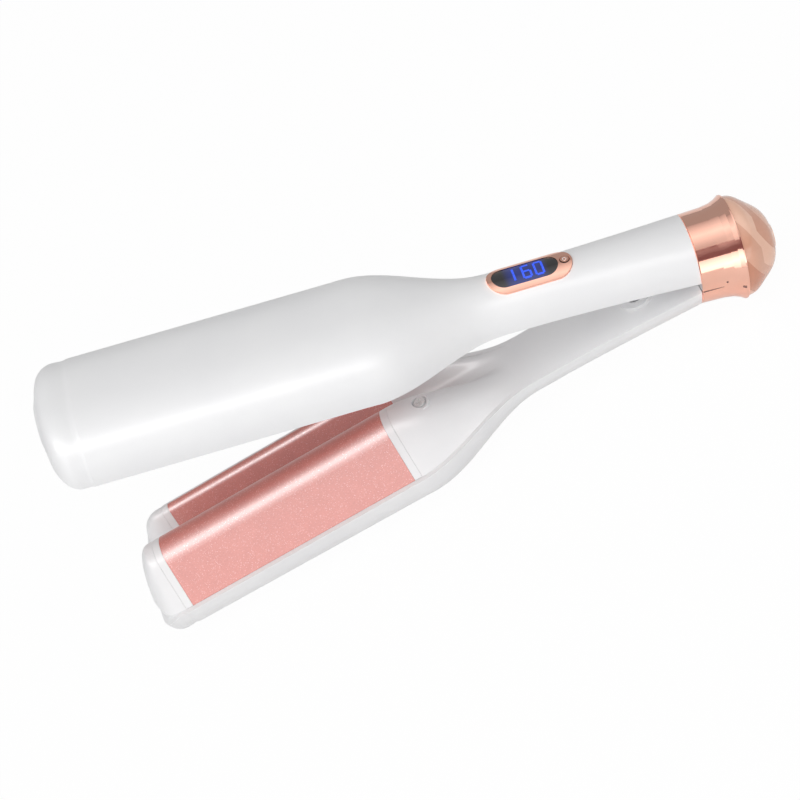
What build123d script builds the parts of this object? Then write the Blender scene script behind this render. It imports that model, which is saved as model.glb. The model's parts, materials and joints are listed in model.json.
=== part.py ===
# Hair waver with two sprung arms and S-shaped heated plates.
#
# Lengths are in millimetres.  Everything is first drawn with the two arms closed:
# the hinge pin crosses at x = 0, the tips point to -X, the lower arm is below z = 0
# and the upper arm is above z = closed_gap.  The upper arm is then swung open, and
# the whole tool is set down on the floor plane z = 0.
import os
from math import atan2, cos, degrees, pi, radians, sin, sqrt, tan

from build123d import *

# ---------------------------------------------------------------- main sizes
opening = 19.0          # angle between the arms when the spring holds them open
closed_gap = 3.0        # between the two rims with the arms closed
hinge_height = 6.0      # pin axis above the lower rim
wall = 2.0              # shell wall
joint_gap = 0.1         # between two fixed pieces that butt or nest
run_gap = 0.35          # between pieces that move past each other

head_half = 31.5        # half the width of the paddle heads
plate_tip = -248.0      # tip end of the heated plates
plate_neck = -142.0     # neck end of the heated plates
strip_width = 3.3       # trim strip at each end of a plate
plate_skin = 1.8        # thickness of the heated plates
plate_gap = 1.2         # between the two plates when closed
plate_half = head_half - wall - joint_gap

collar_front = -4.3     # front edge of the metal collar
collar_radius = 18.2
collar_flare = 21.3
collar_back = 13.8
collar_wall = 1.9
handle_axis = closed_gap / 2
dome_length = 16.4

bezel_front = -85.0
bezel_back = -50.4
bezel_width = 14.5
window_front = -82.9
window_back = -56.2
window_width = 10.4
button_x = -53.3
button_radius = 1.7

pin_radius = 2.0
tongue_width = 10.0
spring_x = -31.0
spring_radius = 2.9
spring_wire = 0.55
seat_depth = 6.0
cup_lip = 1.6           # the lower spring cup stands up this far

# Outline of the arms along x.
neck_half = 14.2        # slimmest half width, just behind the shoulders
tail_half = 17.4        # half width beside the collar
neck_x = -70.0
shoulder_start = -84.0
shoulder_end = -138.0
tip_start = -251.5
tip_end = -267.6
tip_bulge = 5.0         # how far the middle of the end stands out past its corners
crown_round = 7.0       # rounding from the crown into the end
mouth_start = -254.5    # the rims and waves start to roll away from each other here
mouth_level = 9.0       # and end this far inside each arm
lower_neck_depth = 13.0
lower_tail_depth = 14.0
lower_head_depth = 19.4
upper_neck_depth = 16.2
upper_tail_depth = 16.6
upper_head_depth = 23.0

# The wave across the plates, walked from the near edge to the far edge:
# straight runs, and bends given as radius and turn (plus turns upward).
near_slope = 54.0
wave_walk = [
    ("run", 19.6),
    ("bend", 10.3, -120.0),
    ("run", 18.75),
    ("bend", 6.5, 128.0),
    ("run", 6.76),
    ("bend", 3.2, -122.0),
    ("run", 2.91),
]
upper_skip_near = 4.6   # the upper wave starts and stops this far inside the lower one
upper_skip_far = 2.7

# Lying on a table, the tool stands on a narrow flat along the lower crown and on
# the collar's flare; this is the lean, tip down, that brings both to one level.
crown_flat = 0.25       # depth of that flat
flare_drop = hinge_height - handle_axis + collar_flare - 0.1
flare_x = collar_back * cos(radians(opening)) - flare_drop * sin(radians(opening))
flare_z = hinge_height - collar_back * sin(radians(opening)) - flare_drop * cos(radians(opening))
flat_z = crown_flat - lower_head_depth
rest_lean = degrees(atan2(flat_z - flare_z, flare_x - tip_start))


# ---------------------------------------------------------------- shared shapes
def ease(amount):
    """Smooth step from 0 to 1."""
    amount = min(1.0, max(0.0, amount))
    return amount * amount * (3 - 2 * amount)


def arm_size(x, neck_depth, tail_depth, head_depth):
    """Half width, depth and fullness of an arm's arch at one place along x."""
    swell = ease((shoulder_start - x) / (shoulder_start - shoulder_end))
    toward_tail = max(0.0, (x - neck_x) / -neck_x) ** 1.5
    half = neck_half + (tail_half - neck_half) * toward_tail
    depth = neck_depth + (tail_depth - neck_depth) * toward_tail
    half += (head_half - half) * swell
    depth += (head_depth - depth) * swell
    return half, depth, 2.1 + 0.4 * swell


def lower_size(x):
    leaning = (min(x, shoulder_start) - tip_start) * tan(radians(rest_lean))
    head_depth = lower_head_depth + max(0.0, leaning)
    return arm_size(x, lower_neck_depth, lower_tail_depth, head_depth)


def upper_size(x):
    return arm_size(x, upper_neck_depth, upper_tail_depth, upper_head_depth)


def arch_face(x, half, depth, fullness, side, rim):
    """Face across the arm: a full arch closed by the straight rim."""
    points = []
    for step in range(13):
        turn = radians(180 - 15 * step)
        across = abs(cos(turn)) ** (2 / fullness)
        rise = abs(sin(turn)) ** (2 / fullness)
        y = half * across * (1 if cos(turn) > 0 else -1)
        points.append((y, rim + side * depth * rise))
    with BuildSketch(Plane.YZ.offset(x)) as section:
        with BuildLine():
            Spline(*points)
            Line(points[0], points[-1])
        make_face()
    return section.sketch.faces()[0]


def tip_stations(end):
    """Places along a tip that stops at end, with the share of width and depth left."""
    stations = []
    for step in range(7):
        x = end + (tip_start - end) * (1 - step / 6) ** 2
        left = x - end + 0.4 * step / 6
        narrow = (1 + (tip_bulge / left) ** 3) ** (-1 / 6)
        narrow /= (1 + (tip_bulge / (tip_start - end)) ** 3) ** (-1 / 6)
        dip = max(0.0, 1 - left / crown_round)
        stations.append((x, narrow, 0.5 + 0.5 * sqrt(1 - dip * dip)))
    return stations


def mouth_drop(x):
    """How much of the way to the mouth level the lips have rolled away at x."""
    return max(0.0, (mouth_start - x) / (mouth_start - tip_end)) ** 1.8


def mouth_cut(side, rim):
    """Prism that rolls a shell's rim away towards the tip."""
    xs = [mouth_start + (tip_end - mouth_start) * step / 6 for step in range(7)]
    points = [(x, rim + side * mouth_level * mouth_drop(x)) for x in xs]
    beyond = tip_end - 3
    clear = rim - side * 3
    with BuildPart() as cut:
        with BuildSketch(Plane.XZ.offset(-40)):
            with BuildLine():
                Spline(*points)
                Polyline(points[-1], (beyond, points[-1][1]), (beyond, clear),
                         (mouth_start, clear), points[0])
            make_face()
        extrude(amount=80)
    return cut.part


def arm_form(size, side, rim, grow, tail_x):
    """Solid inside an arm's outer skin moved out by grow, from tail_x to the tip."""
    body_xs = [tail_x + (shoulder_end - 5 - tail_x) * n / 16 for n in range(17)]
    head_xs = [body_xs[-1], tip_start]
    with BuildPart() as form:
        for xs in (body_xs, head_xs):
            faces = []
            for x in xs:
                half, depth, fullness = size(x)
                faces.append(arch_face(x, half + grow, depth + grow, fullness, side, rim))
            loft(sections=faces)
        faces = []
        half, depth, fullness = size(tip_start)
        for x, narrow, low in tip_stations(tip_end - grow):
            half_here = (half + grow) * narrow
            faces.append(arch_face(x, half_here, (depth + grow) * low, fullness, side, rim))
        loft(sections=faces)
    return form.part


def wave_path(lift, skip_near=0.0, skip_far=0.0):
    """Edges of the wave moved along its normal by lift."""
    heading = near_slope
    along = Vector(cos(radians(heading)), sin(radians(heading)))
    across = Vector(-sin(radians(heading)), cos(radians(heading)))
    place = Vector(-plate_half, 0) + across * lift + along * skip_near
    last_step = len(wave_walk) - 1
    edges = []
    for number, step in enumerate(wave_walk):
        along = Vector(cos(radians(heading)), sin(radians(heading)))
        if step[0] == "run":
            length = step[1]
            length -= skip_near if number == 0 else 0
            length -= skip_far if number == last_step else 0
            edge = Edge.make_line(place, place + along * length)
        else:
            radius = step[1] + (lift if step[2] < 0 else -lift)
            half_turn = radians(abs(step[2]) / 2)
            chord = 2 * radius * sin(half_turn)
            middle = heading + step[2] / 2
            bow = heading + step[2] / 4
            half_chord = 2 * radius * sin(half_turn / 2)
            end = place + Vector(cos(radians(middle)), sin(radians(middle))) * chord
            mid = place + Vector(cos(radians(bow)), sin(radians(bow))) * half_chord
            edge = Edge.make_three_point_arc(place, mid, end)
            heading += step[2]
        edges.append(edge)
        place = edge @ 1
    return edges


def wave_bar(x_from, x_to, bottom_lift, top_lift, skip_near=0.0, skip_far=0.0):
    """Bar along x whose section is the band between two lifted waves."""
    low = wave_path(bottom_lift, skip_near, skip_far)
    top = wave_path(top_lift, skip_near, skip_far)
    with BuildPart() as bar:
        with BuildSketch(Plane.YZ.offset(x_from)):
            with BuildLine():
                add(low + top)
                Line(low[0] @ 0, top[0] @ 0)
                Line(low[-1] @ 1, top[-1] @ 1)
            make_face()
        extrude(amount=x_to - x_from)
    return bar.part


def upper_bar(x_from, x_to):
    """Bar that follows the wave of the upper plate."""
    top_lift = plate_gap + plate_skin
    return wave_bar(x_from, x_to, plate_gap, top_lift, upper_skip_near, upper_skip_far)


def wave_fill(x_from, x_to, top_lift, level, skip_near=0.0, skip_far=0.0):
    """Bar along x between a lifted wave and a flat level well above or below it."""
    edges = wave_path(top_lift, skip_near, skip_far)
    first = edges[0] @ 0
    last = edges[-1] @ 1
    with BuildPart() as bar:
        with BuildSketch(Plane.YZ.offset(x_from)):
            with BuildLine():
                add(edges)
                Polyline(first, (first.X, level), (last.X, level), last)
            make_face()
        extrude(amount=x_to - x_from)
    return bar.part


def wave_samples(lift, skip_near=0.0, skip_far=0.0):
    """Points along the wave, for skins that change from one section to the next."""
    samples = []
    for edge in wave_path(lift, skip_near, skip_far):
        for step in range(4):
            samples.append(edge @ (step / 4))
    samples.append(edge @ 1)
    return samples


def neck_skin(size, lift, x_from, x_to, level, thickness):
    """Cover that starts as the wave at x_from and fades to a flat by x_to."""
    samples = wave_samples(lift)
    span = plate_half + 0.6 * abs(lift)
    with BuildPart() as skin:
        faces = []
        for step in range(8):
            amount = step / 7
            x = x_from + (x_to - x_from) * amount
            half = size(x)[0] - wall - joint_gap
            fade = 1 - ease(amount)
            points = []
            for sample in samples:
                y = max(-1.0, min(1.0, sample.X / span)) * half
                points.append((y, level + (sample.Y - level) * fade))
            low = [(y, z - thickness) for y, z in reversed(points)]
            with BuildSketch(Plane.YZ.offset(x)) as section:
                with BuildLine():
                    Spline(*points)
                    Line(points[-1], low[0])
                    Spline(*low)
                    Line(low[-1], points[0])
                make_face()
            faces.append(section.sketch.faces()[0])
        loft(sections=faces)
    return skin.part


def lip_fill(lift, mouth, floor, skip_near=0.0, skip_far=0.0):
    """Tip end piece: the lifted wave, rolling away to the mouth level at the end."""
    samples = wave_samples(lift, skip_near, skip_far)
    start = plate_tip - strip_width - joint_gap
    with BuildPart() as lip:
        faces = []
        for step in range(8):
            x = start + (tip_end - start) * step / 7
            drop = mouth_drop(x)
            points = [(point.X, point.Y + (mouth - point.Y) * drop) for point in samples]
            first, last = points[0], points[-1]
            with BuildSketch(Plane.YZ.offset(x)) as section:
                with BuildLine():
                    Spline(*points)
                    Polyline(last, (last[0], floor), (first[0], floor), first)
                make_face()
            faces.append(section.sketch.faces()[0])
        loft(sections=faces)
    return lip.part


def stadium(front, back, width, z_from, z_to):
    """Upright prism with round ends lying along x."""
    with BuildPart() as prism:
        with BuildSketch(Plane.XY.offset(z_from)):
            with Locations(((front + back) / 2, 0)):
                SlotOverall(back - front, width)
        extrude(amount=z_to - z_from)
    return prism.part


def block(x_from, x_to, y_from, y_to, z_from, z_to):
    """Plain box given by its limits."""
    with BuildPart() as box:
        with Locations(((x_from + x_to) / 2, (y_from + y_to) / 2, (z_from + z_to) / 2)):
            Box(x_to - x_from, y_to - y_from, z_to - z_from)
    return box.part


def post(x, y, z_from, z_to, radius):
    """Upright round post."""
    with BuildPart() as rod:
        with Locations((x, y, (z_from + z_to) / 2)):
            Cylinder(radius, z_to - z_from)
    return rod.part


def turned(points):
    """Solid turned about the handle axis from (x, radius) points."""
    with BuildPart() as spun:
        with BuildSketch(Plane.XZ):
            with BuildLine():
                Polyline(*[(x, handle_axis + radius) for x, radius in points], close=True)
            make_face()
        revolve(axis=Axis((0, 0, handle_axis), (1, 0, 0)))
    return spun.part


def around_collar(x_from, x_to, inner, outer, half_angle):
    """Curved block hugging the underside of the collar."""
    with BuildPart() as sector:
        with BuildSketch(Plane.YZ.offset(x_from)):
            with Locations((0, handle_axis)):
                Circle(outer)
                Circle(inner, mode=Mode.SUBTRACT)
                reach = outer * 1.6
                side = reach * sin(radians(half_angle))
                drop = reach * cos(radians(half_angle))
                with BuildLine():
                    Polyline((0, 0), (side, -drop), (-side, -drop), close=True)
                make_face(mode=Mode.INTERSECT)
        extrude(amount=x_to - x_from)
    return sector.part


def outline_prism(inset, z_from, z_to):
    """Upright prism over the tip end of the arm outline, moved in by inset."""
    side = [(x, (head_half - inset) * narrow) for x, narrow, _ in tip_stations(tip_end + inset)]
    with BuildPart() as prism:
        with BuildSketch(Plane.XY.offset(z_from)):
            with BuildLine():
                Line((plate_neck, side[0][1]), side[0])
                Spline(*side)
                Line(side[-1], (side[-1][0], -side[-1][1]))
                Spline(*[(x, -y) for x, y in reversed(side)])
                Line((tip_start, -side[0][1]), (plate_neck, -side[0][1]))
                Line((plate_neck, -side[0][1]), (plate_neck, side[0][1]))
            make_face()
        extrude(amount=z_to - z_from)
    return prism.part


# ---------------------------------------------------------------- outer forms
lower_skin = arm_form(lower_size, -1, 0, 0, 0)
lower_hollow = arm_form(lower_size, -1, 0, -wall, 4)
upper_skin = arm_form(upper_size, 1, closed_gap, 0, collar_front - joint_gap)
upper_hollow = arm_form(upper_size, 1, closed_gap, -wall, 4)

swing = Pos(0, 0, hinge_height) * Rot(0, opening, 0) * Pos(0, 0, -hinge_height)
collar_edge = Plane((collar_front - run_gap, 0, handle_axis), z_dir=(1, 0, 0))
tail_cut = Plane(swing * collar_edge.location)
crest_y = (wave_path(0)[1] @ 0.45).X
crest_z = (wave_path(0)[1] @ 0.45).Y
valley_y = (wave_path(0)[3] @ 0.5).X
strip_tip_end = plate_tip - strip_width
strip_neck_end = plate_neck + strip_width
recess_x = -125.5
recess_y = crest_y + 1.0
recess_floor = crest_z - 5.0
upper_recess_floor = -2.4
fade_end = -88.0
lock_front = collar_front - 1.8
lock_back = 5.6
lock_travel = 3.0
lock_half_angle = 30.0

upper_recess_y = valley_y - 0.8
dome_front = collar_back - 0.8
dome_radius = collar_flare - 0.9
dome_apex = dome_front + dome_length
lower_floor = -12.6      # flat that the pieces in the lower handle stand on
lower_web = 2.0          # underside of the web that holds the lower heater
upper_web = 5.6          # top of the web that holds the upper heater
web = 1.4
heater_front = plate_tip + 8
heater_back = plate_neck - 8
heater_thick = 4.0


tongue_foot = -24.5
tongue_boss = 5.2
yoke_back = 8.5
yoke_radius = collar_radius - collar_wall - joint_gap
spigot_end = -16.0
board_z = 6.6
board_thick = 1.6
module_top = closed_gap + 12.2
handle_top = closed_gap + upper_neck_depth


# ---------------------------------------------------------------- lower arm
with BuildPart() as lower_shell:
    add(lower_skin)
    add(lower_hollow, mode=Mode.SUBTRACT)
    split(bisect_by=tail_cut, keep=Keep.BOTTOM)
    # tower that takes the cover screw, and the pad under the hinge tongue
    add(post(recess_x, recess_y, -40, recess_floor - 2.4, 3.0) & lower_skin)
    add(block(tongue_foot, -13.5, -7, 7, -40, lower_floor + 2.4) & lower_skin)
    add(mouth_cut(-1, 0), mode=Mode.SUBTRACT)
    # narrow flat along the crown, where the arm lies on a table
    crown_cut = block(-300, 40, -40, 40, -60, flat_z)
    crown_line = Axis((tip_start, 0, flat_z), (0, 1, 0))
    add(crown_cut.rotate(crown_line, rest_lean), mode=Mode.SUBTRACT)
    add(post(recess_x, recess_y, recess_floor - 14, recess_floor, 1.1), mode=Mode.SUBTRACT)
    # room for the front of the lock slider
    lock_room = around_collar(lock_front - run_gap, 3, 14.5, 24, lock_half_angle + 1.5)
    add(swing * lock_room, mode=Mode.SUBTRACT)

with BuildPart() as lower_plate:
    add(wave_bar(plate_tip, plate_neck, -plate_skin, 0))
    under_wave = wave_fill(plate_tip, plate_neck, -plate_skin / 2, -30)
    add(block(plate_tip, plate_neck, -27, -1, lower_web, lower_web + web) & under_wave)

heater_middle = (heater_front + heater_back) / 2
heater_length = heater_back - heater_front

with BuildPart() as lower_heater:
    with Locations((heater_middle, crest_y, lower_web - heater_thick / 2)):
        Box(heater_length, 15.0, heater_thick)

with BuildPart() as lower_heater_bridge:
    # pressed-steel bridge that holds the heater up against the web
    bridge_top = lower_web - heater_thick
    with Locations((heater_middle, crest_y, bridge_top - 0.5)):
        Box(heater_length, 17.0, 1.0)
    for offset in (-0.36, 0.36):
        with Locations((heater_middle + offset * heater_length, crest_y, bridge_top - 6)):
            Box(10.0, 8.0, 12.0)
    add(lower_hollow, mode=Mode.INTERSECT)

with BuildPart() as lower_tip_strip:
    add(wave_bar(strip_tip_end, plate_tip - joint_gap, -plate_skin, 0))

with BuildPart() as lower_neck_strip:
    add(wave_bar(plate_neck + joint_gap, strip_neck_end, -plate_skin, 0))

with BuildPart() as lower_tip_cap:
    add(lip_fill(0, -mouth_level, -mouth_level - 2.4))
    clear_of_upper = arm_form(upper_size, 1, closed_gap, -wall - 0.6, 4)
    low_ledge = outline_prism(wall + joint_gap, 0, closed_gap)
    add(lower_hollow + low_ledge + clear_of_upper, mode=Mode.INTERSECT)

with BuildPart() as lower_cover:
    add(neck_skin(lower_size, 0, strip_neck_end + joint_gap, fade_end, 0.0, 2.4))
    add(block(fade_end, 20, -30, 30, -2.4, 0) & lower_hollow)
    add(lower_skin - lower_hollow, mode=Mode.SUBTRACT)
    split(bisect_by=tail_cut, keep=Keep.BOTTOM)
    # spring seat and the gap around the hinge tongue
    add(post(spring_x, 0, -2.4 - seat_depth, 0, 6.0))
    add(post(spring_x, 0, -1.0, cup_lip, 7.6))
    add(post(spring_x, 0, -seat_depth, 5, 4.6), mode=Mode.SUBTRACT)
    add(block(-17, 5, -5.4, 5.4, -9, 1), mode=Mode.SUBTRACT)
    # recess for the cover screw
    add(post(recess_x, recess_y, recess_floor - 2.4, recess_floor + 1, 3.9))
    add(post(recess_x, recess_y, recess_floor, recess_floor + 9, 3.0), mode=Mode.SUBTRACT)
    add(post(recess_x, recess_y, recess_floor - 5, recess_floor + 1, 1.4), mode=Mode.SUBTRACT)

with BuildPart() as cover_screw:
    add(post(recess_x, recess_y, recess_floor, recess_floor + 1.6, 2.5))
    add(post(recess_x, recess_y, recess_floor - 12, recess_floor, 1.05))
    with Locations((recess_x, recess_y, recess_floor + 1.6)):
        Box(3.2, 0.6, 1.2, mode=Mode.SUBTRACT)
        Box(0.6, 3.2, 1.2, mode=Mode.SUBTRACT)

with BuildPart() as hinge_tongue:
    with BuildSketch(Plane.XZ.offset(-tongue_width / 2)):
        with Locations((0, hinge_height)):
            Circle(tongue_boss)
        with BuildLine():
            Polyline(
                (1.5, hinge_height - 4.9),
                (-2.2, hinge_height + 4.6),
                (-15.5, -2.8),
                (tongue_foot, -9.4),
                (tongue_foot, lower_floor + 2.4),
                (-13.5, lower_floor + 2.4),
                close=True,
            )
        make_face()
    extrude(amount=tongue_width)
    with Locations(Location((0, 0, hinge_height), (90, 0, 0))):
        Cylinder(pin_radius + 0.05, 30, mode=Mode.SUBTRACT)
    for x in (-22.0, -16.5):
        add(post(x, 0, -20, 10, 1.3), mode=Mode.SUBTRACT)

with BuildPart() as hinge_pin:
    with Locations(Location((0, 0, hinge_height), (90, 0, 0))):
        Cylinder(pin_radius, 2 * (collar_radius - collar_wall) - 4.0)


# ---------------------------------------------------------------- upper arm, drawn closed
with BuildPart() as upper_shell:
    add(upper_skin)
    add(upper_hollow, mode=Mode.SUBTRACT)
    add(mouth_cut(1, closed_gap), mode=Mode.SUBTRACT)
    tower_foot = upper_recess_floor + 2.4 + joint_gap
    add(post(recess_x, upper_recess_y, closed_gap + 1, 40, 3.0) & upper_skin)
    add(post(recess_x, upper_recess_y, tower_foot, closed_gap + 4, 3.0))
    add(post(recess_x, upper_recess_y, -5, 14, 1.1), mode=Mode.SUBTRACT)
    # seat for the display frame
    hole = bezel_width + 2 * joint_gap
    opening_prism = stadium(bezel_front - joint_gap, bezel_back + joint_gap, hole, 5, 40)
    add(opening_prism, mode=Mode.SUBTRACT)

with BuildPart() as upper_plate:
    add(upper_bar(plate_tip, plate_neck))
    over_wave = wave_fill(
        plate_tip, plate_neck, plate_gap + plate_skin / 2, 60, upper_skip_near, upper_skip_far)
    web_bar = block(plate_tip, plate_neck, -1, 20, upper_web - web, upper_web)
    add(web_bar & over_wave)
    add(upper_skin - upper_hollow, mode=Mode.SUBTRACT)

with BuildPart() as upper_heater:
    with Locations((heater_middle, valley_y, upper_web + heater_thick / 2)):
        Box(heater_length, 11.6, heater_thick)

with BuildPart() as upper_heater_bridge:
    bridge_base = upper_web + heater_thick
    with Locations((heater_middle, valley_y, bridge_base + 0.5)):
        Box(heater_length, 13.0, 1.0)
    for offset in (-0.36, 0.36):
        with Locations((heater_middle + offset * heater_length, valley_y, bridge_base + 10)):
            Box(10.0, 8.0, 20.0)
    add(upper_hollow, mode=Mode.INTERSECT)

with BuildPart() as thermal_fuse:
    with Locations(Location((heater_middle, valley_y, bridge_base + 2.6), (0, 90, 0))):
        Cylinder(1.6, 12.0)

with BuildPart() as upper_tip_strip:
    add(upper_bar(strip_tip_end, plate_tip - joint_gap))
    add(upper_skin - upper_hollow, mode=Mode.SUBTRACT)

with BuildPart() as upper_neck_strip:
    add(upper_bar(plate_neck + joint_gap, strip_neck_end))
    add(upper_skin - upper_hollow, mode=Mode.SUBTRACT)

with BuildPart() as upper_tip_cap:
    mouth = closed_gap + mouth_level
    add(lip_fill(plate_gap, mouth, crest_z + 4.0, upper_skip_near, upper_skip_far))
    below_rim = outline_prism(wall + joint_gap, -40, closed_gap)
    add(below_rim + upper_hollow, mode=Mode.INTERSECT)

with BuildPart() as upper_cover:
    cover_level = closed_gap
    skin = neck_skin(
        upper_size, plate_gap, strip_neck_end + joint_gap, fade_end, cover_level, -2.4)
    add(skin)
    add(block(fade_end, 20, -30, 30, cover_level, cover_level + 2.4) & upper_hollow)
    add(upper_skin - upper_hollow, mode=Mode.SUBTRACT)
    add(block(spigot_end - joint_gap, 30, -30, 30, -10, 30), mode=Mode.SUBTRACT)
    add(post(spring_x, 0, cover_level, cover_level + 2.4 + seat_depth, 6.0))
    add(post(spring_x, 0, -5, cover_level + seat_depth, 4.6), mode=Mode.SUBTRACT)
    floor = upper_recess_floor
    add(post(recess_x, upper_recess_y, floor, floor + 2.4, 3.9))
    add(post(recess_x, upper_recess_y, floor - 9, floor, 3.0), mode=Mode.SUBTRACT)
    add(post(recess_x, upper_recess_y, floor - 1, floor + 5, 1.4), mode=Mode.SUBTRACT)

with BuildPart() as hinge_yoke:
    # drum inside the collar, with a half-round spigot plugged into the upper shell
    add(turned([
        (collar_front, 0), (yoke_back, 0), (yoke_back, yoke_radius),
        (collar_front, yoke_radius)]))
    spigot = block(spigot_end, collar_front, -30, 30, closed_gap + 0.6, 40)
    add(spigot & arm_form(upper_size, 1, closed_gap, -wall - joint_gap, 4))
    # slot for the tongue, open downward so that the lower arm can swing
    slot = tongue_width / 2 + run_gap
    add(block(spigot_end - 1, yoke_back - 1.2, -slot, slot, -30, 13.5), mode=Mode.SUBTRACT)
    with Locations(Location((0, 0, hinge_height), (90, 0, 0))):
        Cylinder(pin_radius + 0.05, 60, mode=Mode.SUBTRACT)
    # passage for the leads
    with Locations(Location((0, 0, 15.4), (0, 90, 0))):
        Cylinder(1.4, 60, mode=Mode.SUBTRACT)

with BuildPart() as collar:
    add(turned([
        (collar_front, collar_radius - collar_wall),
        (collar_front, collar_radius - 0.3),
        (collar_front + 0.3, collar_radius),
        (5.0, collar_radius + 0.3),
        (9.0, collar_radius + 0.9),
        (11.6, collar_radius + 1.9),
        (collar_back - 0.5, collar_flare - 0.1),
        (collar_back, collar_flare - 0.1),
        (collar_back, dome_radius + joint_gap),
        (dome_front - joint_gap, dome_radius + joint_gap),
        (dome_front - joint_gap, collar_radius - collar_wall + 1.0),
        (9.0, collar_radius - collar_wall),
    ]))
    slot_end = lock_back + lock_travel + run_gap
    add(around_collar(-10, slot_end, 12, 24, lock_half_angle + 0.8), mode=Mode.SUBTRACT)

with BuildPart() as lock_slider:
    add(around_collar(
        lock_front, lock_back, yoke_radius + run_gap, collar_radius + 0.5, lock_half_angle))
    # finger ridges
    for x in (lock_front + 4, lock_front + 5.6, lock_front + 7.2):
        add(around_collar(x, x + 0.7, collar_radius, collar_radius + 0.9, 16))

with BuildPart() as dome:
    with BuildSketch(Plane.XZ):
        with BuildLine():
            rim_top = (dome_front + 1.2, handle_axis + dome_radius)
            top = (dome_apex, handle_axis + 4.2)
            Line((dome_front, handle_axis + 16.6), (dome_front, handle_axis + dome_radius))
            Line((dome_front, handle_axis + dome_radius), rim_top)
            Spline(rim_top, (dome_front + 8.4, handle_axis + 16.9), top,
                   tangents=[(1, 0.0), (0, -1)])
            Line(top, (dome_apex - 2.4, handle_axis + 4.2))
            Spline((dome_apex - 2.4, handle_axis + 4.2),
                   (dome_front + 6.6, handle_axis + 14.2), (dome_front, handle_axis + 16.6),
                   tangents=[(0, 1), (-1, 0)])
        make_face()
    revolve(axis=Axis((0, 0, handle_axis), (1, 0, 0)))

with BuildPart() as cord_bushing:
    add(turned([
        (dome_apex - 6.0, 2.6), (dome_apex + 0.6, 2.6), (dome_apex + 0.6, 4.8),
        (dome_apex + 0.1, 4.8), (dome_apex + 0.1, 4.1), (dome_apex - 2.5, 4.1),
        (dome_apex - 2.5, 5.2), (dome_apex - 6.0, 5.2)]))

with BuildPart() as display_frame:
    add(stadium(bezel_front, bezel_back, bezel_width, 5, 40))
    add(arm_form(upper_size, 1, closed_gap, 0.7, -20), mode=Mode.INTERSECT)
    add(upper_hollow, mode=Mode.SUBTRACT)
    add(stadium(
        window_front - joint_gap, window_back + joint_gap, window_width + 2 * joint_gap, 5, 40),
        mode=Mode.SUBTRACT)
    add(post(button_x, 0, 5, 40, button_radius + run_gap), mode=Mode.SUBTRACT)

with BuildPart() as display_window:
    add(stadium(window_front, window_back, window_width, 5, 40))
    add(arm_form(upper_size, 1, closed_gap, 0.45, -20), mode=Mode.INTERSECT)
    add(arm_form(upper_size, 1, closed_gap, -1.2, -18), mode=Mode.SUBTRACT)

with BuildPart() as power_button:
    add(post(button_x, 0, handle_top - 4.6, 40, button_radius))
    add(arm_form(upper_size, 1, closed_gap, 0.95, -20), mode=Mode.INTERSECT)
    add(post(button_x, 0, handle_top - 4.6, handle_top - 2.5, button_radius + 0.9))

with BuildPart() as button_switch:
    switch_top = handle_top - 4.6 - 0.9
    add(block(button_x - 3, button_x + 3, -3, 3, board_z + board_thick, switch_top))

with BuildPart() as circuit_board:
    add(block(-88, -44, -9.5, 9.5, board_z, board_z + board_thick))
    for x in (-84, -48):
        add(post(x, 6.5, cover_level + 2.4, board_z, 1.6))
        add(post(x, -6.5, cover_level + 2.4, board_z, 1.6))

with BuildPart() as display_module:
    add(block(-83, -57, -5.6, 5.6, board_z + board_thick, module_top))

with BuildPart() as display_digits:
    # three seven-segment figures reading 160
    lit = {"1": "bc", "6": "acdefg", "0": "abcdef"}
    tall = 8.4
    wide = 4.2
    stroke = 0.8
    for place, figure in enumerate("160"):
        left = -74.9 + place * 5.0
        spots = {
            "a": (wide / 2, tall / 2, True), "g": (wide / 2, 0, True),
            "d": (wide / 2, -tall / 2, True), "b": (wide, tall / 4, False),
            "c": (wide, -tall / 4, False), "e": (0, -tall / 4, False),
            "f": (0, tall / 4, False),
        }
        for name in lit[figure]:
            x, y, flat = spots[name]
            size = (wide - stroke, stroke) if flat else (stroke, tall / 2 - stroke * 1.4)
            with Locations((left + x, y, module_top + 0.15)):
                Box(size[0], size[1], 0.3)

with BuildPart() as upper_screw:
    add(post(recess_x, upper_recess_y, floor - 1.6, floor, 2.5))
    add(post(recess_x, upper_recess_y, floor - 1.6, floor + 14, 1.05))
    with Locations((recess_x, upper_recess_y, floor - 1.6)):
        Box(3.2, 0.6, 1.2, mode=Mode.SUBTRACT)
        Box(0.6, 3.2, 1.2, mode=Mode.SUBTRACT)

with BuildPart() as terminal_block:
    add(block(yoke_back, dome_front + 2.0, -5, 5, handle_axis + 5.5, handle_axis + 12.0))
    for y in (-2.4, 2.4):
        add(post(12, y, handle_axis + 9, handle_axis + 14, 1.2), mode=Mode.SUBTRACT)

with BuildPart() as leads:
    # two supply leads through the yoke and two to the upper heater
    for y in (-0.62, 0.62):
        with BuildLine() as run:
            Spline((-44.5, 3 * y, board_z + board_thick + 0.55), (-39, 2 * y, 13.4),
                   (-30, y, 15.2), (-16, y, 15.4), tangents=[(0, 0, 1), (1, 0, 0)])
            Line((-16, y, 15.4), (yoke_back - joint_gap, y, 15.4))
        with BuildSketch(Plane(run.line @ 0, z_dir=(0, 0, 1))):
            Circle(0.55)
        sweep(path=run.line)
    for y in (-0.8, 0.8):
        with BuildLine() as run:
            Spline((-87.0, y, board_z + board_thick + 0.55), (-112, 5.6 + y, 12.0),
                   (heater_back + 0.1, valley_y - 4.8 + y, upper_web + 2.0),
                   tangents=[(-1, 0, 0), (-1, 0, 0)])
        with BuildSketch(Plane(run.line @ 0, z_dir=(-1, 0, 0))):
            Circle(0.55)
        sweep(path=run.line)


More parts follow.
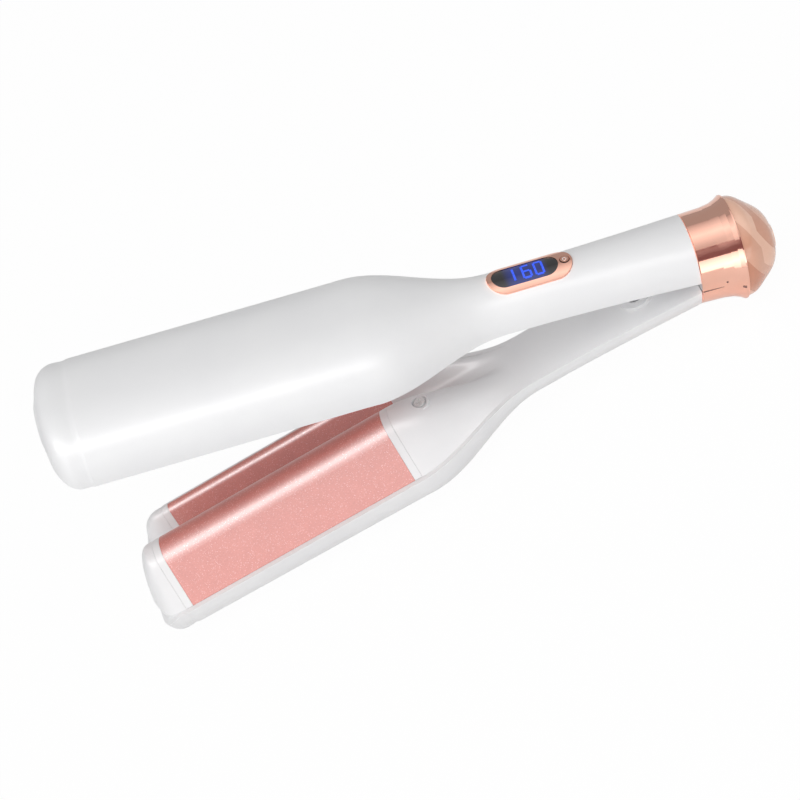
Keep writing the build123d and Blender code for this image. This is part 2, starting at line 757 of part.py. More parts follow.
# ---------------------------------------------------------------- opening spring
spring_low = Vector(spring_x, 0, -seat_depth)
spring_top = (swing * Pos(spring_x, 0, closed_gap + seat_depth)).position
spring_run = spring_top - spring_low
spring_lift = 0.62
turns = 6
with BuildPart() as opening_spring:
    height = spring_run.length - 2 * spring_wire - 2 * spring_lift
    steps = 8 * turns
    beads = []
    for step in range(steps + 1):
        turn = 2 * pi * step / 8
        beads.append((spring_radius * cos(turn), spring_radius * sin(turn), height * step / steps))
    with BuildLine() as coil:
        for step in range(0, steps, 2):
            ThreePointArc(*beads[step:step + 3])
    with BuildSketch(Plane(coil.line @ 0, z_dir=coil.line % 0)):
        Circle(spring_wire)
    sweep(path=coil.line)
spring_place = Plane(spring_low, z_dir=spring_run).location * Pos(0, 0, spring_wire + spring_lift)


# ---------------------------------------------------------------- placing and saving
resting = Rot(0, -rest_lean, 0)
lower_names = {
    "lower_shell": lower_shell, "lower_cover": lower_cover, "lower_plate": lower_plate,
    "lower_tip_strip": lower_tip_strip, "lower_neck_strip": lower_neck_strip,
    "lower_tip_cap": lower_tip_cap, "lower_heater": lower_heater,
    "lower_heater_bridge": lower_heater_bridge, "cover_screw": cover_screw,
    "hinge_tongue": hinge_tongue, "hinge_pin": hinge_pin,
}
upper_names = {
    "upper_shell": upper_shell, "upper_cover": upper_cover, "upper_plate": upper_plate,
    "upper_tip_strip": upper_tip_strip, "upper_neck_strip": upper_neck_strip,
    "upper_tip_cap": upper_tip_cap, "upper_heater": upper_heater,
    "upper_heater_bridge": upper_heater_bridge, "upper_screw": upper_screw,
    "thermal_fuse": thermal_fuse, "hinge_yoke": hinge_yoke, "collar": collar,
    "dome": dome, "cord_bushing": cord_bushing, "display_frame": display_frame,
    "display_window": display_window, "display_module": display_module,
    "display_digits": display_digits, "circuit_board": circuit_board,
    "button_switch": button_switch, "power_button": power_button,
    "lock_slider": lock_slider, "terminal_block": terminal_block, "leads": leads,
}
placed = {name: resting * piece.part for name, piece in lower_names.items()}
for name, piece in upper_names.items():
    placed[name] = resting * swing * piece.part
placed["opening_spring"] = resting * spring_place * opening_spring.part

boxes = [piece.bounding_box() for piece in placed.values()]
middle_x = (min(box.min.X for box in boxes) + max(box.max.X for box in boxes)) / 2
middle_y = (min(box.min.Y for box in boxes) + max(box.max.Y for box in boxes)) / 2
floor_z = min(box.min.Z for box in boxes)
setting_down = Pos(-middle_x, -middle_y, -floor_z)

os.makedirs("parts", exist_ok=True)
for name, piece in placed.items():
    piece = setting_down * piece
    piece.label = name
    export_step(piece, "parts/" + name + ".step")

for name, place in {
    "hinge axis": Pos(0, 0, hinge_height),
    "dome bore": swing * Pos(dome_apex + 0.6, 0, handle_axis),
    "crown flat": Pos(-196, 0, flat_z - (-196 - tip_start) * tan(radians(rest_lean))),
    "upper frame direction": swing * Pos(1000, 0, hinge_height),
}.items():
    print(name, setting_down * resting * place)
print("lowest of each", {name: round(piece.bounding_box().min.Z - floor_z, 2)
                         for name, piece in placed.items()})
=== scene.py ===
# %% [markdown]
# # A hair waver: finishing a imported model
# The solid model of the waver is loaded first and is never moved. Every finish and
# every extra piece is placed in its frame: metres, +X towards the dome, +Z up.

# %% Load the frame
import bpy
import bmesh
import json
from math import atan2, cos, degrees, pi, radians, sin, tan
from mathutils import Matrix, Vector


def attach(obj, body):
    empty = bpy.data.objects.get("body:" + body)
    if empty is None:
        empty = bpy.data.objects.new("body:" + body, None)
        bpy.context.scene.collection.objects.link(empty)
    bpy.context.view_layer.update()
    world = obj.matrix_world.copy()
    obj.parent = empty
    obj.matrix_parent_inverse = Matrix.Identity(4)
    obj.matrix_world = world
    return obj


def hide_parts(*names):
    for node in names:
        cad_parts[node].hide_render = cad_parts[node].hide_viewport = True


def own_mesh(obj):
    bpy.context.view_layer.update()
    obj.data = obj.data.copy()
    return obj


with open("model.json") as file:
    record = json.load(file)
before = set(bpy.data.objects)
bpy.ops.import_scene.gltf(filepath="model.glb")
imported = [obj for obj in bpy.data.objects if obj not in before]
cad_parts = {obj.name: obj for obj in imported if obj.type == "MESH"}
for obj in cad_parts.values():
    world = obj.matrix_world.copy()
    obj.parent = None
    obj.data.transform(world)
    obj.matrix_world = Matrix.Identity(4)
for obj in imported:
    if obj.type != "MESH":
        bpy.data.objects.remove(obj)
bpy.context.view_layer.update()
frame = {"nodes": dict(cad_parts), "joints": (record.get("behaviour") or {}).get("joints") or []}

nodes = frame["nodes"]
scene = bpy.context.scene

# %% [markdown]
# ## The upper arm's own frame
# The upper arm leans up from the table. Its own axis, its own "up" and the hinge come
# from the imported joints, so that extra pieces need no measuring by eye. They are drawn
# in millimetres along the arm: x from the hinge, z from the lower rim when shut.

# %% Directions of the upper arm
HINGE_HEIGHT = 6.0          # hinge above the lower rim
HANDLE_AXIS = 1.5           # centre line of collar and dome, above the same rim
joints = {joint["name"]: joint for joint in frame["joints"]}
along = Vector(joints["lock_slide"]["axis"]).normalized()
upward = -Vector(joints["power_press"]["axis"]).normalized()
across = Vector((0, 1, 0))
hinge = Vector(joints["arm_hinge"]["pos_m"])
upper_frame = Matrix((
    (along.x, across.x, upward.x, hinge.x),
    (along.y, across.y, upward.y, hinge.y),
    (along.z, across.z, upward.z, hinge.z),
    (0, 0, 0, 1),
)) @ Matrix.Translation((0, 0, -HINGE_HEIGHT / 1000))


def from_drawing(x, y, z, drawing=upper_frame):
    """A point of the drawing, in millimetres, as a point of the model, in metres."""
    return drawing @ (Vector((x, y, z)) / 1000)


print("upper arm leans", round(degrees(along.angle(Vector((1, 0, 0)))), 2), "degrees")

# %% [markdown]
# ## Camera
# A long lens, looking down on the tool from a little beyond its dome end, and rolled so
# that the arms climb to the right. The lens length is worked out from the distance
# and from how many pixels a metre should fill.

# %% Camera
IMAGE_SIDE, PIXELS_PER_METRE = 800, 2483.0
SENSOR_WIDTH = 36.0
camera_distance = 0.961
camera_azimuth, camera_elevation, camera_roll = radians(14.7), radians(42.96), radians(39.3)
camera_target = Vector((-0.01394, 0, 0.03547))
back = Vector((
    sin(camera_azimuth) * cos(camera_elevation),
    -cos(camera_azimuth) * cos(camera_elevation),
    sin(camera_elevation),
))
level_right = Vector((0, 0, 1)).cross(back).normalized()
level_up = back.cross(level_right)
right = level_right * cos(camera_roll) - level_up * sin(camera_roll)
up = level_right * sin(camera_roll) + level_up * cos(camera_roll)
camera = bpy.data.objects.new("camera", bpy.data.cameras.new("camera"))
scene.collection.objects.link(camera)
camera.matrix_world = Matrix((
    (right.x, up.x, back.x, 0), (right.y, up.y, back.y, 0), (right.z, up.z, back.z, 0),
    (0, 0, 0, 1),
))
camera.location = camera_target + back * camera_distance
camera.data.sensor_width = SENSOR_WIDTH
camera.data.lens = SENSOR_WIDTH * PIXELS_PER_METRE * camera_distance / IMAGE_SIDE
camera.data.clip_start, camera.data.clip_end = 0.05, 20
scene.camera = camera
print("lens", round(camera.data.lens, 1), "mm at", camera_distance, "m")

# %% [markdown]
# ## Writing shaders as sums
# Nodes for arithmetic are tedious to place one by one. A small class wraps a socket so
# that `1 - mask * 0.4` adds the Math nodes by itself. Any other node comes from one
# method that takes its type, its settings and its sockets.

# %% Shader helper
class Value:
    """A number that changes over a surface, held as a node's output socket."""

    def __init__(self, shader, socket):
        self.shader = shader
        self.socket = socket

    def _math(self, operation, left, right):
        return self.shader.node("ShaderNodeMath", {"operation": operation}, {0: left, 1: right})

    def __add__(self, other):
        return self._math("ADD", self, other)

    def __radd__(self, other):
        return self._math("ADD", other, self)

    def __rsub__(self, other):
        return self._math("SUBTRACT", other, self)

    def __mul__(self, other):
        return self._math("MULTIPLY", self, other)

    def __gt__(self, other):
        return self._math("GREATER_THAN", self, other)

    def apply(self, operation, other=0.0):
        """Any other Math operation, such as FLOOR or ARCTAN2."""
        return self._math(operation, self, other)


class Finish:
    """One material: a Principled shader and the nodes that feed it."""

    def __init__(self, name, **fixed):
        self.material = bpy.data.materials.new(name)
        self.material.use_nodes = True
        self.tree = self.material.node_tree
        self.tree.nodes.clear()
        self.surface = self.tree.nodes.new("ShaderNodeBsdfPrincipled")
        self.out = self.tree.nodes.new("ShaderNodeOutputMaterial")
        self.tree.links.new(self.surface.outputs[0], self.out.inputs[0])
        self.place = self.node("ShaderNodeTexCoord", {}, {}, "Object")
        for socket, number in fixed.items():
            self.surface.inputs[socket.replace("_", " ")].default_value = number

    def node(self, kind, settings, sockets, output=0):
        """Add a node; a colour ramp takes its stops as one of the settings."""
        made = self.tree.nodes.new(kind)
        for name, setting in settings.items():
            if name == "stops":
                ramp = made.color_ramp
                while len(ramp.elements) < len(setting):
                    ramp.elements.new(0.5)
                for element, (position, colour) in zip(ramp.elements, setting):
                    element.position = position
                    element.color = (*colour, 1)
            else:
                setattr(made, name, setting)
        for name, given in sockets.items():
            if isinstance(given, Value):
                self.tree.links.new(given.socket, made.inputs[name])
            else:
                made.inputs[name].default_value = given
        return Value(self, made.outputs[output])

    def feed(self, **sockets):
        """Link values to the shader's own sockets."""
        for socket, given in sockets.items():
            self.tree.links.new(given.socket, self.surface.inputs[socket.replace("_", " ")])
        return self

    def noise(self, scale, detail=2.0):
        return self.node("ShaderNodeTexNoise", {}, {
            "Vector": self.place, "Scale": scale, "Detail": detail})

    def ramp(self, value, *stops):
        return self.node("ShaderNodeValToRGB", {"stops": stops}, {0: value})

    def measure(self, start, direction):
        """Distance in millimetres from a point, measured along a direction."""
        offset = self.node("ShaderNodeVectorMath", {"operation": "SUBTRACT"},
                           {0: self.place, 1: start})
        return self.node("ShaderNodeVectorMath", {"operation": "DOT_PRODUCT"},
                         {0: offset, 1: direction}, 1) * 1000

    def bump(self, height, strength, distance):
        return self.node("ShaderNodeBump", {}, {
            "Height": height, "Strength": strength, "Distance": distance})


def wear(*names, finish):
    """Give CAD nodes, all their slots, one finish."""
    for name in names:
        slots = nodes[name].material_slots
        if not slots:
            nodes[name].data.materials.append(finish.material)
        for slot in slots:
            slot.material = finish.material


print("shader helper ready")

# %% [markdown]
# ## White moulded shell
# The shells are satin white polymer. Real mouldings are never perfectly even: the
# surface has a very shallow ripple from the tool and a faint change of tint. Both are
# far too small to model, so they come from noise in the bump and in the colour.

# %% White shell
white = Finish("white_satin_moulding", Specular_IOR_Level=0.2, Coat_Weight=0.05,
               Coat_Roughness=0.3)
tint = white.ramp(white.noise(38.0, 3.0), (0.3, (0.80, 0.80, 0.81)), (0.7, (0.83, 0.83, 0.835)))
ripple = white.noise(900.0, 2.0)
white.feed(
    Base_Color=tint,
    Roughness=0.38 + white.noise(220.0, 4.0) * 0.08,
    Normal=white.bump(ripple, 0.06, 0.0002),
)
wear("lower_shell", "upper_shell", "lower_cover", "upper_cover", "lower_tip_cap",
     "upper_tip_cap", "lower_tip_strip", "upper_tip_strip", "lower_neck_strip",
     "upper_neck_strip", finish=white)
print("white pieces finished")

# %% [markdown]
# ## Rose ceramic plates
# The heated plates carry a rose ceramic coat with mineral flakes in it. The flakes are
# cells of a Voronoi pattern, each with its own brightness, over a soft mottled pink.
# The brightest few sparkle: they are smoother than the rest, and their paler colour is a painted
# glint.

# %% Rose plates
FLAKE_SCALE = 3600.0            # flakes per metre, a little over a quarter millimetre each
SPARKLE_LIMIT = 0.94            # the share of flakes that don't sparkle
rose = Finish("rose_ceramic", Specular_IOR_Level=0.6, Coat_Weight=1.0, Coat_IOR=1.6,
              Coat_Roughness=0.38)
mottle = rose.ramp(rose.noise(120.0, 4.0), (0.3, (0.53, 0.115, 0.082)),
                   (0.7, (0.57, 0.132, 0.095)))
flakes = rose.node("ShaderNodeTexVoronoi", {}, {"Vector": rose.place, "Scale": FLAKE_SCALE},
                   "Color")
flake_light = rose.node("ShaderNodeSeparateColor", {}, {0: flakes})
flake_grey = rose.ramp(flake_light, (0.0, (0.36, 0.36, 0.36)), (1.0, (0.64, 0.64, 0.64)))
sparkling = flake_light > SPARKLE_LIMIT
grained = rose.node("ShaderNodeMix", {"data_type": "RGBA", "blend_type": "SOFT_LIGHT"}, {
    "Factor": 0.6, 6: mottle, 7: flake_grey}, 2)
# Painted glint: the brightest flakes are mixed towards a pale pink, over the real flake grain.
grain_and_painted_glint = rose.node("ShaderNodeMix", {"data_type": "RGBA"}, {
    "Factor": sparkling * 0.22, 6: grained, 7: (0.98, 0.80, 0.74, 1)}, 2)
rose.feed(
    Base_Color=grain_and_painted_glint,
    Roughness=0.58 - sparkling * 0.12,
    Normal=rose.bump(flake_light, 0.10, 0.0002),
)
wear("lower_plate", "upper_plate", finish=rose)
print("plates finished")

# %% [markdown]
# ## Rose-gold metal
# Collar, display frame, button and lock are plated. Polished plating is a mirror with
# a warm tint, and fine polishing marks blur it a little.

# %% Rose gold
gold = Finish("rose_gold_plating", Metallic=1.0)
marks = gold.noise(1400.0, 2.0)
gold.feed(
    Base_Color=gold.ramp(gold.noise(90.0, 2.0), (0.3, (0.90, 0.500, 0.385)),
                         (0.7, (0.92, 0.530, 0.415))),
    Roughness=0.04 + marks * 0.04,
    Normal=gold.bump(marks, 0.02, 0.0001),
)
wear("collar", "display_frame", "power_button", "lock_slider", finish=gold)
print("plated pieces finished")

# %% [markdown]
# ## Small finishes
# What sits inside the arms is seldom seen, yet each piece has the look of its stuff:
# steel, nylon, fired ceramic, green solder mask or soft silicone. One function makes
# them all, because each is one colour that wanders a little over a faint grain.

# %% Inner and small finishes
def plain_finish(name, low, high, scale, **fixed):
    """A finish with one colour that wanders a little, and a faint grain."""
    made = Finish(name, **fixed)
    grain = made.noise(scale, 3.0)
    return made.feed(Base_Color=made.ramp(grain, (0.3, low), (0.7, high)),
                     Normal=made.bump(grain, 0.1, 0.0002))


steel = plain_finish("spring_steel", (0.50, 0.50, 0.51), (0.62, 0.62, 0.63), 800.0,
                     Metallic=1.0, Roughness=0.32)
nylon = plain_finish("grey_nylon", (0.60, 0.60, 0.61), (0.68, 0.68, 0.69), 500.0,
                     Roughness=0.5)
black = plain_finish("black_moulding", (0.012, 0.012, 0.014), (0.02, 0.02, 0.022), 400.0,
                     Roughness=0.35)
# Painted shade: this dark brown stands for the shade in the collar's seam, notch and pin end.
seam = plain_finish("seam_shadow", (0.10, 0.035, 0.025), (0.14, 0.05, 0.035), 900.0,
                    Roughness=0.6)
ceramic = plain_finish("heater_ceramic", (0.74, 0.73, 0.70), (0.82, 0.81, 0.78), 300.0,
                       Roughness=0.7)
mask_green = plain_finish("board_mask", (0.01, 0.13, 0.05), (0.02, 0.18, 0.07), 300.0,
                          Roughness=0.35)
silicone = plain_finish("silicone", (0.86, 0.60, 0.47), (0.92, 0.66, 0.52), 500.0,
                        Roughness=0.6)
sleeve = plain_finish("fuse_sleeve", (0.55, 0.42, 0.16), (0.62, 0.50, 0.22), 500.0,
                      Roughness=0.5)
lacquer = plain_finish("white_lacquer", (0.70, 0.70, 0.70), (0.76, 0.76, 0.76), 600.0,
                       Roughness=0.35)
wear("hinge_pin", "opening_spring", "hinge_tongue", "lower_heater_bridge",
     "upper_heater_bridge", finish=steel)
wear("cover_screw", "upper_screw", finish=lacquer)
wear("hinge_yoke", "terminal_block", finish=nylon)
wear("button_switch", "display_module", finish=black)
wear("lower_heater", "upper_heater", finish=ceramic)
wear("circuit_board", finish=mask_green)
wear("cord_bushing", "leads", finish=silicone)
wear("thermal_fuse", finish=sleeve)
print("small pieces finished")

# %% [markdown]
# ## Display
# The window is dark smoked glass. A soft blue glow shows through its middle, around the
# lit figures, and dies away towards both ends.

# %% Display finishes
WINDOW_MIDDLE = -69.4           # along the arm, like every x of a drawing
GLOW_HALF, GLOW_FADE = 5.2, 4.5     # full glow to each side, and the fade beyond it
smoke = Finish("smoked_window", Roughness=0.12, Coat_Weight=0.5, Coat_Roughness=0.04,
               Emission_Strength=1.0)
from_window = smoke.measure(from_drawing(WINDOW_MIDDLE, 0, 0), along).apply("ABSOLUTE")
fade = smoke.node("ShaderNodeMapRange", {"interpolation_type": "SMOOTHSTEP"}, {
    0: from_window, 1: GLOW_HALF, 2: GLOW_HALF + GLOW_FADE, 3: 1.0, 4: 0.0})
smoke.feed(
    Base_Color=smoke.ramp(smoke.noise(300.0), (0.3, (0.012, 0.012, 0.013)),
                          (0.7, (0.018, 0.018, 0.019))),
    Emission_Color=smoke.ramp(fade, (0.0, (0.004, 0.004, 0.004)), (1.0, (0.004, 0.016, 0.165))))
wear("display_window", finish=smoke)

figure_blue = Finish("lit_figures", Roughness=0.4, Emission_Strength=1.0)
figure_blue.feed(
    Base_Color=figure_blue.ramp(figure_blue.noise(900.0), (0.3, (0.01, 0.03, 0.2)),
                                (0.7, (0.02, 0.04, 0.25))),
    Emission_Color=figure_blue.ramp(figure_blue.noise(700.0), (0.3, (0.012, 0.075, 0.80)),
                                    (0.7, (0.03, 0.10, 0.90))))
wear("display_digits", finish=figure_blue)
print("display finished")

# %% [markdown]
# ## New pieces
# Each new piece is drawn in millimetres, closed and with its normals outward, then set
# in the model's frame and made to ride on its body.

# %% Piece helper
def new_piece(name, shape, finish, body, flat=False, drawing=upper_frame):
    """Turn a bmesh drawn in millimetres into a piece that rides on a body."""
    bmesh.ops.recalc_face_normals(shape, faces=shape.faces)
    mesh = bpy.data.meshes.new(name)
    shape.to_mesh(mesh)
    shape.free()
    mesh.transform(drawing @ Matrix.Scale(0.001, 4))
    for face in mesh.polygons:
        face.use_smooth = not flat
    mesh.materials.append(finish.material)
    piece = bpy.data.objects.new(name, mesh)
    scene.collection.objects.link(piece)
    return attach(piece, body)


def bar_shape(size, rounding, place, turn=Matrix.Identity(4)):
    """A rounded bar, turned about the arm and moved to its place."""
    shape = bmesh.new()
    bmesh.ops.create_cube(shape, size=1.0)
    bmesh.ops.scale(shape, vec=size, verts=shape.verts)
    bmesh.ops.bevel(shape, geom=shape.edges, offset=rounding, segments=2, profile=0.5,
                    affect="EDGES", material=-1)
    bmesh.ops.transform(shape, matrix=Matrix.Translation(place) @ turn, verts=shape.verts)
    return shape


def spin_all(shape, cent, axis, angle, steps, dvec=(0, 0, 0), merge=False):
    """Spin everything that is drawn so far, and lift it by dvec at each step."""
    bmesh.ops.spin(shape, geom=shape.verts[:] + shape.edges[:] + shape.faces[:], cent=cent,
                   axis=axis, dvec=dvec, angle=angle, steps=steps, use_merge=merge)


print("piece helper ready")

# %% [markdown]
# ## Measuring the solid model
# Extra pieces that lie on the model take their height from it. A ray is cast from
# above, straight down the drawing's z, and the height it meets comes back in
# millimetres.

# %% Height of a CAD piece
RAY_START = 40.0                # higher than any piece of the upper arm


def height_over(node, x, y):
    """Height of a piece above the drawing's rim at a spot along and across the arm."""
    to_drawing = upper_frame.inverted() @ node.matrix_world
    to_node = to_drawing.inverted()
    down = (to_node.to_3x3() @ Vector((0, 0, -1))).normalized()
    hit = node.ray_cast(from_drawing(x, y, RAY_START, to_node), down)
    return (to_drawing @ hit[1]).z * 1000


print("window's top at", round(height_over(nodes["display_window"], WINDOW_MIDDLE, 0), 2), "mm")

# %% [markdown]
# ## Dome
# The dome is clear peach plastic, smooth outside and cut in large triangles inside. Its
# outer skin follows the solid model's dome, measured step by step, and the profile is
# spun round the handle's axis together with a plain inner wall.

# %% Dome piece
DOME_FRONT = 13.0               # where the dome starts along the arm
DOME_STEPS = 96
OUTER_STEPS = (0.05, 0.5, 1.2, *range(2, 13), 12.8, 13.6, 14.3, 15.0, 15.5, 15.9, 16.2, 16.35)
outer_wall = [(step, height_over(nodes["dome"], DOME_FRONT + step, 0) - HANDLE_AXIS)
              for step in OUTER_STEPS]
inner_wall = [(14.0, 4.3), (11.5, 9.0), (8.5, 12.4), (4.5, 15.2), (0.05, 16.7)]
gem = bmesh.new()
profile = [gem.verts.new((DOME_FRONT + step, 0, HANDLE_AXIS + radius))
           for step, radius in outer_wall + inner_wall]
for pair in zip(profile, profile[1:] + profile[:1]):
    gem.edges.new(pair)
spin_all(gem, (0, 0, HANDLE_AXIS), (1, 0, 0), 2 * pi, DOME_STEPS, merge=True)
print("dome with", len(gem.faces), "faces")

# %% [markdown]
# ## The dome's triangles
# The triangles are seen through the smooth skin, so the shader draws them: three rows of eight,
# each cut in two, and each triangle with its own painted shade for how that inner facet takes
# the light. A faint painted glow stands for light coming through the clear plastic.

# %% Dome finish
TRIANGLES, ROWS = 8, 3          # round the dome, and from its apex to its rim
ROWS_END = radians(80)          # how far round from the apex the rows reach
ROW_SHIFT, FIRST_CUT = 0.5, 0.3
CENTRE_BEHIND = 4.0             # that angle's centre lies this far behind the dome's start
peach = Finish("peach_crystal", Roughness=0.15, Coat_Weight=0.4, Coat_Roughness=0.05,
               Emission_Strength=0.1)
dome_start = from_drawing(DOME_FRONT, 0, HANDLE_AXIS)
sideways, high = peach.measure(dome_start, across), peach.measure(dome_start, upward)
turn = sideways.apply("ARCTAN2", high)
from_axis = (sideways * sideways + high * high).apply("SQRT")
ahead = peach.measure(dome_start, along) + CENTRE_BEHIND
depth = from_axis.apply("ARCTAN2", ahead) * (ROWS / ROWS_END)
row = depth.apply("FLOOR")
around = turn * (TRIANGLES / (2 * pi)) + row * ROW_SHIFT + FIRST_CUT
half = around.apply("FRACT") > depth.apply("FRACT")
# Three uneven steps scatter the painted facet shades; the 4 keeps the sum above zero.
facet_light_tone = (around.apply("FLOOR") * 0.37 + row * 0.23 + half * 0.41 + 4).apply("FRACT")
shade = facet_light_tone * 0.6 + peach.noise(40.0, 2.0) * 0.4
# Painted light: the base colour and a faint glow follow each triangle's painted shade, though
# the dome is no lamp.
peach.feed(
    Base_Color=peach.ramp(shade, (0.15, (0.50, 0.20, 0.12)), (0.85, (0.86, 0.53, 0.39))),
    Emission_Color=peach.ramp(shade, (0.15, (0.70, 0.33, 0.20)), (0.85, (1.0, 0.80, 0.64))),
)
dome = new_piece("faceted_dome", gem, peach, "upper_arm")
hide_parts("dome")
print("dome finished in", ROWS, "rows")

# %% [markdown]
# ## Lit figures
# Three seven-segment figures show on the window. Each bar is a block whose corners are
# laid on the curved glass one by one.

# %% Lit figures
FIGURE_TALL, FIGURE_WIDE, STROKE = 7.6, 3.9, 0.85
FIGURE_THICK, FIGURE_LIFT = 0.24, 0.02
LYING = (FIGURE_WIDE - 1.5 * STROKE, STROKE)
STANDING = (STROKE, FIGURE_TALL / 2 - 0.8 * STROKE)
segment_spots = {
    "a": (0, 0.5, LYING), "g": (0, 0, LYING), "d": (0, -0.5, LYING),
    "b": (0.5, 0.25, STANDING), "c": (0.5, -0.25, STANDING),
    "e": (-0.5, -0.25, STANDING), "f": (-0.5, 0.25, STANDING),
}
figures = bmesh.new()
for figure_x, segments in ((-75.6, "bc"), (-68.9, "acdefg"), (-63.9, "abcdef")):
    for segment in segments:
        part_x, part_y, (length, width) = segment_spots[segment]
        x = figure_x + part_x * (FIGURE_WIDE - STROKE)
        y = part_y * (FIGURE_TALL - STROKE)
        for vert in bmesh.ops.create_cube(figures, size=1.0)["verts"]:
            spot = Vector((x + vert.co.x * length, y + vert.co.y * width))
            glass = height_over(nodes["display_window"], *spot)
            vert.co = (*spot, glass + FIGURE_LIFT + vert.co.z * FIGURE_THICK)
print("figures with", len(figures.faces), "faces")
new_piece("display_figures", figures, figure_blue, "upper_arm", flat=True)

# %% [markdown]
# ## Painted shade on the collar
# A thin dark bar paints the shade in the seam where the lower part of the collar meets the
# upper. A pin's end beside it and a small notch in the flared rim are drawn with the same
# painted shade.

# %% Seam, pin end and notch
SEAM_ANGLE = radians(-97)       # round the arm from straight up, towards the near side
COLLAR_FRONT, COLLAR_RADIUS = -4.3, 18.2
SEAM_LENGTH, SEAM_THICK = 13.4, 0.3
NOTCH_X, NOTCH_SPREAD, NOTCH_LEAN = 12.0, 2.1, radians(-38)
PIN_X, PIN_ANGLE, PIN_SPREAD = 5.6, SEAM_ANGLE + 0.12, 0.32


def round_collar(x, spread, angle):
    """A point beyond the collar's own radius, at an angle round the handle's axis."""
    radius = COLLAR_RADIUS + spread
    return Vector((x, radius * sin(angle), HANDLE_AXIS + radius * cos(angle)))


def facing(angle):
    """Turn that brings a piece's top to face outward at that angle."""
    return Matrix.Rotation(-angle, 4, "X")


seam_middle = round_collar(COLLAR_FRONT + SEAM_LENGTH / 2, 0.12, SEAM_ANGLE)
new_piece("collar_seam_shade", bar_shape((SEAM_LENGTH, SEAM_THICK, SEAM_THICK), 0.06, seam_middle,
                                   facing(SEAM_ANGLE)), seam, "upper_arm")
notch_turn = facing(SEAM_ANGLE) @ Matrix.Rotation(NOTCH_LEAN, 4, "Y")
notch_place = round_collar(NOTCH_X, NOTCH_SPREAD, SEAM_ANGLE - 0.06)
new_piece("collar_notch_shade", bar_shape((1.6, 1.0, 0.6), 0.2, notch_place, notch_turn), seam,
          "upper_arm")
pin_end = bmesh.new()
bmesh.ops.create_cone(pin_end, cap_ends=True, segments=24, radius1=0.45, radius2=0.4, depth=0.3)
pin_place = Matrix.Translation(round_collar(PIN_X, PIN_SPREAD, PIN_ANGLE)) @ facing(PIN_ANGLE)
bmesh.ops.transform(pin_end, verts=pin_end.verts, matrix=pin_place)
new_piece("collar_pin_end", pin_end, seam, "upper_arm")
print("collar marked")

# %% [markdown]
# ## Power sign
# The button carries the usual sign: a ring that is open at one side, and a bar in the
# opening. The ring is a small block spun most of the way round.

# %% Power sign
BUTTON_X, BUTTON_TOP = -53.3, 20.15
RING_INNER, RING_OUTER = 0.67, 0.89
SIGN_SUNK, SIGN_PROUD = 0.1, 0.08
OPENING, ARC_STEPS = radians(40), 20    # half the ring's opening
sign = bmesh.new()
ring_start = [sign.verts.new((BUTTON_X + radius * cos(OPENING), radius * sin(OPENING),
                              BUTTON_TOP + lift))
              for radius, lift in ((RING_INNER, -SIGN_SUNK), (RING_OUTER, -SIGN_SUNK),
                                   (RING_OUTER, SIGN_PROUD), (RING_INNER, SIGN_PROUD))]
sign.faces.new(ring_start)
spin_all(sign, (BUTTON_X, 0, 0), (0, 0, 1), 2 * pi - 2 * OPENING, ARC_STEPS)
new_piece("power_sign_ring", sign, lacquer, "button", flat=True)
stem = bar_shape((0.75, 0.2, 0.18), 0.03, (BUTTON_X + 0.62, 0, BUTTON_TOP - 0.01))
new_piece("power_sign_bar", stem, lacquer, "button")
print("power sign made")

# %% [markdown]
# ## Opening spring
# The spring between the arms can't stay as long as it is when they close. A new coil stands in
# for the solid model's, which is hidden. Its foot sits in the lower cup and its head in the
# upper one as the arms stand open; the shut length is only worked out and printed. The coil is a
# circle of wire that is spun and lifted at each step.

# %% Where the spring stands
SPRING_X, SEAT_DEPTH, CLOSED_GAP = -31.0, 6.0, 3.0
CLOSING_TURN = radians(joints["arm_hinge"]["range_deg"][0])
shut_frame = (Matrix.Translation(hinge) @ Matrix.Rotation(CLOSING_TURN, 4, "Y")
              @ Matrix.Translation(-hinge) @ upper_frame)
foot = from_drawing(SPRING_X, 0, -SEAT_DEPTH, shut_frame)
head = from_drawing(SPRING_X, 0, CLOSED_GAP + SEAT_DEPTH)
shut_head = from_drawing(SPRING_X, 0, CLOSED_GAP + SEAT_DEPTH, shut_frame)
run, shortening = head - foot, head - shut_head
print("spring", round(run.length * 1000, 1), "mm, shut",
      round((shut_head - foot).length * 1000, 1), "mm")

# %% Spring piece
COIL_RADIUS, WIRE_RADIUS, END_ROOM = 2.9, 0.55, 1.17
TURNS, PER_TURN, WIRE_SIDES = 6, 24, 10
coil_length = run.length * 1000 - 2 * END_ROOM
climb = atan2(coil_length / TURNS, 2 * pi * COIL_RADIUS)
coil = bmesh.new()
bmesh.ops.create_circle(coil, cap_ends=True, segments=WIRE_SIDES, radius=WIRE_RADIUS)
wire_start = (Matrix.Translation((COIL_RADIUS, 0, END_ROOM))
              @ Matrix.Rotation(climb - pi / 2, 4, "X") @ Matrix.Rotation(-pi / 2, 4, "Z"))
bmesh.ops.transform(coil, matrix=wire_start, verts=coil.verts)
spin_all(coil, (0, 0, 0), (0, 0, 1), 2 * pi * TURNS, TURNS * PER_TURN,
         dvec=(0, 0, coil_length / (TURNS * PER_TURN)))
standing = Matrix.Translation(foot) @ run.to_track_quat("Z", "Y").to_matrix().to_4x4()
spring = new_piece("arm_spring", coil, steel, "lower_arm", drawing=standing)
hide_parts("opening_spring")
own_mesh(spring)
print("spring with", len(spring.data.polygons), "faces")

# %% [markdown]
# ## Table
# A pale floor takes a soft shadow. For the camera it adds light of its own, so that it
# reads as plain white paper, and polished metal sees a little of that light too.

